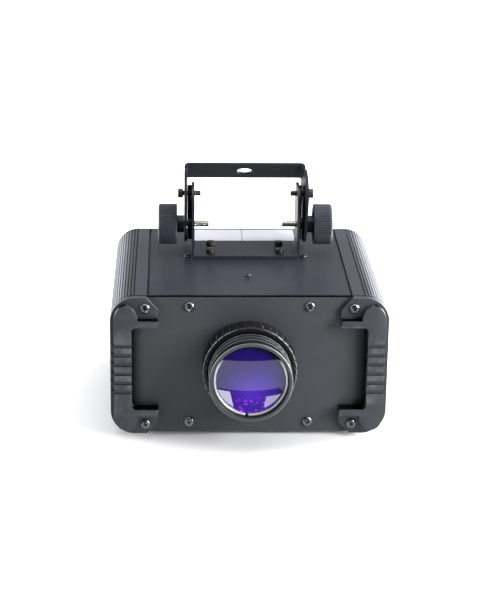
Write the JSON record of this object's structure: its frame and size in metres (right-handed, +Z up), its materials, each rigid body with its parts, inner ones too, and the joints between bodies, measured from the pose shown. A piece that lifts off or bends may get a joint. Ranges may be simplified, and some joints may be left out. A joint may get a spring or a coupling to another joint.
{
  "type": "water wave effect light",
  "caption": "Box-shaped stage effect projector with a focusing lens, ribbed side profiles, corner guards and a tilting yoke clamped by two knobs",
  "frame": {"origin": "centre of the whole light's outline seen from above, on the plane that the feet stand on", "axes": "-Y is the way the lens looks, +X is to the right of someone who faces the lens, +Z is up"},
  "size_m": [0.2476, 0.2522, 0.2149],
  "materials": {
    "powder_coat": "fine matte powder coat on 1.5 to 2.4 mm steel sheet",
    "yoke_coat": "smoother, darker powder coat on the tilting yoke",
    "anodised_profile": "black anodised ribbed extrusion, satin",
    "guard_plastic": "dark grey moulded plastic, satin",
    "black_plastic": "black moulded plastic",
    "knob_plastic": "matte dark moulded plastic",
    "foot_rubber": "matte black rubber",
    "black_screw": "black plated steel",
    "bright_steel": "bright plated steel thread",
    "black_anodised": "black anodised turned aluminium",
    "wheel_aluminium": "plain milled aluminium",
    "violet_glass": "polished coated glass, violet inside",
    "clear_glass": "polished clear glass",
    "circuit_board": "green solder mask",
    "zinc_steel": "zinc plated steel",
    "potting": "black potting compound",
    "display_plastic": "dark red gloss window"
  },
  "bodies": {
    "root": {"base_tray": "powder_coat", "front_panel": "powder_coat", "rear_panel": "powder_coat", "top_cover": "powder_coat", "left_side_profile": "anodised_profile", "right_side_profile": "anodised_profile", "left_guard": "guard_plastic", "right_guard": "guard_plastic", "front_left_foot": "foot_rubber", "front_right_foot": "foot_rubber", "rear_left_foot": "foot_rubber", "rear_right_foot": "foot_rubber", "panel_screw_lower_left": "black_screw", "panel_screw_lower_right": "black_screw", "panel_screw_upper_left": "black_screw", "panel_screw_upper_right": "black_screw", "guard_screw_lower_left": "black_screw", "guard_screw_lower_right": "black_screw", "guard_screw_upper_left": "black_screw", "guard_screw_upper_right": "black_screw", "cover_screw": "black_screw", "lens_mount": "black_plastic", "mount_saddle": "powder_coat", "saddle_bolt_front_left": "black_screw", "saddle_bolt_front_right": "black_screw", "saddle_bolt_rear_left": "black_screw", "saddle_bolt_rear_right": "black_screw", "left_limit_bolt": "black_screw", "right_limit_bolt": "black_screw", "left_pivot_spacer": "black_plastic", "right_pivot_spacer": "black_plastic", "optics_bracket": "zinc_steel", "condenser_lens": "clear_glass", "colour_wheel_motor": "zinc_steel", "ripple_wheel_motor": "zinc_steel", "led_module": "circuit_board", "led_heat_sink": "wheel_aluminium", "fan_frame": "black_plastic", "power_supply": "potting", "control_board": "circuit_board", "display_window": "display_plastic", "power_inlet": "black_plastic", "data_in_socket": "black_plastic", "data_out_socket": "black_plastic"},
    "yoke": {"yoke": "yoke_coat"},
    "left_knob_stud": {"left_knob_stud": "bright_steel"},
    "left_knob": {"left_knob": "knob_plastic"},
    "right_knob_stud": {"right_knob_stud": "bright_steel"},
    "right_knob": {"right_knob": "knob_plastic"},
    "focus_ring": {"focus_ring": "black_plastic"},
    "lens_barrel": {"lens_barrel": "black_anodised", "front_lens": "violet_glass", "lens_retaining_ring": "bright_steel"},
    "colour_wheel": {"colour_wheel": "wheel_aluminium"},
    "ripple_wheel": {"ripple_wheel": "clear_glass"},
    "fan_rotor": {"fan_rotor": "black_plastic"},
    "menu_button_1": {"menu_button_1": "black_plastic"},
    "menu_button_2": {"menu_button_2": "black_plastic"},
    "menu_button_3": {"menu_button_3": "black_plastic"},
    "menu_button_4": {"menu_button_4": "black_plastic"}
  },
  "joints": [
    {"name": "yoke_tilt", "type": "hinge", "parent": "root", "child": "yoke", "pos_m": [0, 0.04685, 0.1612], "axis": [1, 0, 0], "range_deg": [-2, 78]},
    {"name": "left_stud_travel", "type": "slide", "parent": "root", "child": "left_knob_stud", "axis": [-1, 0, 0], "range_m": [0, 0.002]},
    {"name": "left_knob_turn", "type": "hinge", "parent": "left_knob_stud", "child": "left_knob", "pos_m": [-0.0731, 0.04685, 0.1612], "axis": [-1, 0, 0], "range_deg": [0, 720]},
    {"name": "right_stud_travel", "type": "slide", "parent": "root", "child": "right_knob_stud", "axis": [1, 0, 0], "range_m": [0, 0.002]},
    {"name": "right_knob_turn", "type": "hinge", "parent": "right_knob_stud", "child": "right_knob", "pos_m": [0.0731, 0.04685, 0.1612], "axis": [1, 0, 0], "range_deg": [0, 720]},
    {"name": "focus_turn", "type": "hinge", "parent": "root", "child": "focus_ring", "pos_m": [0, -0.09, 0.0686], "axis": [0, -1, 0], "range_deg": [-150, 50]},
    {"name": "barrel_slide", "type": "slide", "parent": "root", "child": "lens_barrel", "axis": [0, -1, 0], "range_m": [-0.015, 0.005]},
    {"name": "colour_wheel_spin", "type": "hinge", "parent": "root", "child": "colour_wheel", "pos_m": [0.036, 0.00685, 0.0686], "axis": [0, 1, 0], "continuous": true},
    {"name": "ripple_wheel_spin", "type": "hinge", "parent": "root", "child": "ripple_wheel", "pos_m": [-0.036, -0.00515, 0.0686], "axis": [0, 1, 0], "continuous": true},
    {"name": "fan_spin", "type": "hinge", "parent": "root", "child": "fan_rotor", "pos_m": [0, 0.11175, 0.0686], "axis": [0, 1, 0], "continuous": true},
    {"name": "menu_button_1_press", "type": "slide", "parent": "root", "child": "menu_button_1", "axis": [0, -1, 0], "range_m": [0, 0.0008], "stiffness_N_per_m": 800},
    {"name": "menu_button_2_press", "type": "slide", "parent": "root", "child": "menu_button_2", "axis": [0, -1, 0], "range_m": [0, 0.0008], "stiffness_N_per_m": 800},
    {"name": "menu_button_3_press", "type": "slide", "parent": "root", "child": "menu_button_3", "axis": [0, -1, 0], "range_m": [0, 0.0008], "stiffness_N_per_m": 800},
    {"name": "menu_button_4_press", "type": "slide", "parent": "root", "child": "menu_button_4", "axis": [0, -1, 0], "range_m": [0, 0.0008], "stiffness_N_per_m": 800}
  ],
  "couplings": [
    {"joint": "focus_turn", "follows": "barrel_slide", "rad_per_m": 174.53},
    {"joint": "left_knob_turn", "follows": "left_stud_travel", "rad_per_m": 6283.2},
    {"joint": "right_knob_turn", "follows": "right_stud_travel", "rad_per_m": 6283.2}
  ]
}
